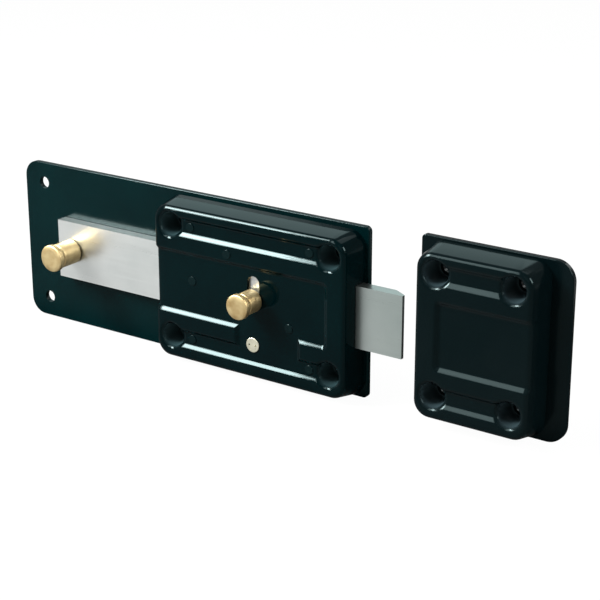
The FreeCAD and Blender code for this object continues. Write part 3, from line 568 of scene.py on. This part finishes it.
# Camera at the photograph's viewpoint
azimuth, elevation = math.radians(VIEW_AZIMUTH), math.radians(VIEW_ELEVATION)
back = Vector((math.sin(azimuth) * math.cos(elevation), -math.cos(azimuth) * math.cos(elevation),
               math.sin(elevation)))
aim = Vector(VIEW_AIM) * MM
camera = bpy.data.objects.new("camera", bpy.data.cameras.new("camera"))
bpy.context.scene.collection.objects.link(camera)
camera.data.sensor_width = 36.0
camera.data.lens = VIEW_LENS
camera.location = aim + back * VIEW_DISTANCE * MM
camera.rotation_euler = (-back).to_track_quat("-Z", "Y").to_euler()
camera.data.clip_start, camera.data.clip_end = 0.05, 30.0
bpy.context.scene.camera = camera


# Studio
def pale_surface(name, pale, mirrored):
    """Matte surface, white in the picture, at the mirrored level in polished things with a painted shadow band.
    """
    material = bpy.data.materials.new(name)
    material.use_nodes = True
    tree = material.node_tree
    tree.nodes.remove(tree.nodes["Principled BSDF"])
    matte = add(tree, "ShaderNodeBsdfDiffuse", {"Color": linear(pale)})
    glow = add(tree, "ShaderNodeEmission", {"Color": (1, 1, 1, 1), "Strength": 1.0})
    path = add(tree, "ShaderNodeLightPath")
    seen = add(tree, "ShaderNodeMath", {"operation": "ADD"}, i0=path.outputs["Is Camera Ray"],
               i1=path.outputs["Is Transmission Ray"])
    seen = add(tree, "ShaderNodeMath", {"operation": "ADD"}, i0=seen.outputs[0],
               i1=path.outputs["Is Glossy Ray"])
    share = add(tree, "ShaderNodeMath", {"operation": "MULTIPLY", 1: 0.97}, i0=seen.outputs[0])
    where = add(tree, "ShaderNodeTexCoord")
    parts = add(tree, "ShaderNodeSeparateXYZ", {}, Vector=where.outputs["Object"])
    # Painted shadow of the lock: in reflections the floor is dimmed to a band under and behind it
    offset = add(tree, "ShaderNodeMath", {"operation": "SUBTRACT", 1: PAINTED_SHADOW_CENTRE * MM}, i0=parts.outputs["Y"])
    reach = add(tree, "ShaderNodeMath", {"operation": "ABSOLUTE"}, i0=offset.outputs[0])
    under = add(tree, "ShaderNodeMapRange", {"From Min": PAINTED_SHADOW_INNER * MM, "From Max": PAINTED_SHADOW_OUTER * MM,
                                             "To Min": mirrored * PAINTED_SHADOW_SHARE, "To Max": mirrored},
                Value=reach.outputs[0])
    lowered = add(tree, "ShaderNodeMath", {"operation": "SUBTRACT", 0: 1.0}, i1=under.outputs["Result"])
    polished = add(tree, "ShaderNodeMath", {"operation": "MULTIPLY"}, i0=lowered.outputs[0],
                   i1=path.outputs["Is Glossy Ray"])
    level = add(tree, "ShaderNodeMath", {"operation": "SUBTRACT", 0: 1.0}, i1=polished.outputs[0])
    tree.links.new(level.outputs[0], glow.inputs["Strength"])
    both = add(tree, "ShaderNodeMixShader", {}, Fac=share.outputs[0], i1=matte.outputs[0], i2=glow.outputs[0])
    tree.links.new(both.outputs[0], tree.nodes["Material Output"].inputs["Surface"])
    return material


def studio_floor():
    bm = bmesh.new()
    bmesh.ops.create_grid(bm, x_segments=1, y_segments=1, size=6.0)
    bmesh.ops.translate(bm, vec=(0, 0, FLOOR_LEVEL * MM), verts=bm.verts)
    mesh = bpy.data.meshes.new("floor")
    bm.to_mesh(mesh)
    bm.free()
    mesh.materials.append(pale_surface("pale_studio_floor", "#c6c6c4", FLOOR_MIRRORED))
    floor = bpy.data.objects.new("floor", mesh)
    bpy.context.scene.collection.objects.link(floor)


def studio_world(ambient, mirrored):
    world = bpy.data.worlds.new("studio")
    bpy.context.scene.world = world
    world.use_nodes = True
    tree = world.node_tree
    background = tree.nodes["Background"]
    path = add(tree, "ShaderNodeLightPath")
    seen = add(tree, "ShaderNodeMath", {"operation": "ADD"}, i0=path.outputs["Is Camera Ray"],
               i1=path.outputs["Is Transmission Ray"])
    direct = add(tree, "ShaderNodeMapRange", {"To Min": ambient, "To Max": 1.0}, Value=seen.outputs[0])
    polished = add(tree, "ShaderNodeMath", {"operation": "MULTIPLY", 1: mirrored - ambient},
                   i0=path.outputs["Is Glossy Ray"])
    strength = add(tree, "ShaderNodeMath", {"operation": "ADD"}, i0=direct.outputs[0], i1=polished.outputs[0])
    tree.links.new(strength.outputs[0], background.inputs["Strength"])
    background.inputs["Color"].default_value = (1, 1, 1, 1)


def softbox(name, toward, distance, width, height, radiance, colour=(1.0, 1.0, 1.0)):
    """Rectangular lamp placed along a direction from the lock, facing it, its width level with the lock."""
    lamp = bpy.data.lights.new(name, "AREA")
    lamp.shape = "RECTANGLE"
    lamp.size, lamp.size_y = width, height
    lamp.energy = radiance * math.pi * width * height
    lamp.color = colour
    holder = bpy.data.objects.new(name, lamp)
    bpy.context.scene.collection.objects.link(holder)
    direction = Vector(toward).normalized()
    across = (Vector((1, 0, 0)) - direction * direction.x).normalized()
    holder.location = Vector(LAMP_CENTRE) + direction * distance
    holder.rotation_euler = Matrix((across, direction.cross(across), direction)).transposed().to_euler()


studio_floor()
studio_world(WORLD_AMBIENT, WORLD_MIRRORED)

# These lamps alone light a face towards -y at about 3.4 times the plain level. The enamels and the brass are
# written darker than they render to make up for it, so under plain light they look darker than here
softbox("overhead_key", (-0.63, -0.36, 0.69), 1.2, 0.26, 0.38, 50.0)
softbox("overhead_edge", (-0.51, -0.44, 0.73), 1.2, 0.08, 0.44, 60.0)
softbox("overhead_apron", (-0.61, -0.555, 0.545), 1.2, 0.26, 0.4, 140.0)
softbox("overhead_keeper", (-0.33, -0.66, 0.62), 1.2, 0.26, 0.85, 17.0)
softbox("front_low", (-0.65, -0.70, 0.30), 1.2, 0.2, 0.24, 40.0)
softbox("ceiling", (0.15, 0.3, 1.0), 1.6, 0.8, 0.8, 2.5)
softbox("rear_top", (-0.44, 0.67, 0.56), 1.6, 1.0, 0.5, 1.8, (0.7, 1.0, 1.0))
softbox("right_fill", (0.84, -0.06, 0.54), 1.6, 0.7, 0.7, 28.0)
softbox("rear_right", (0.35, 0.75, 0.56), 1.6, 0.7, 0.6, 4.0)
softbox("front_fill", (0.3, -0.9, 0.5), 2.0, 0.9, 0.9, 0.8)

bpy.context.scene.view_settings.view_transform = "Standard"
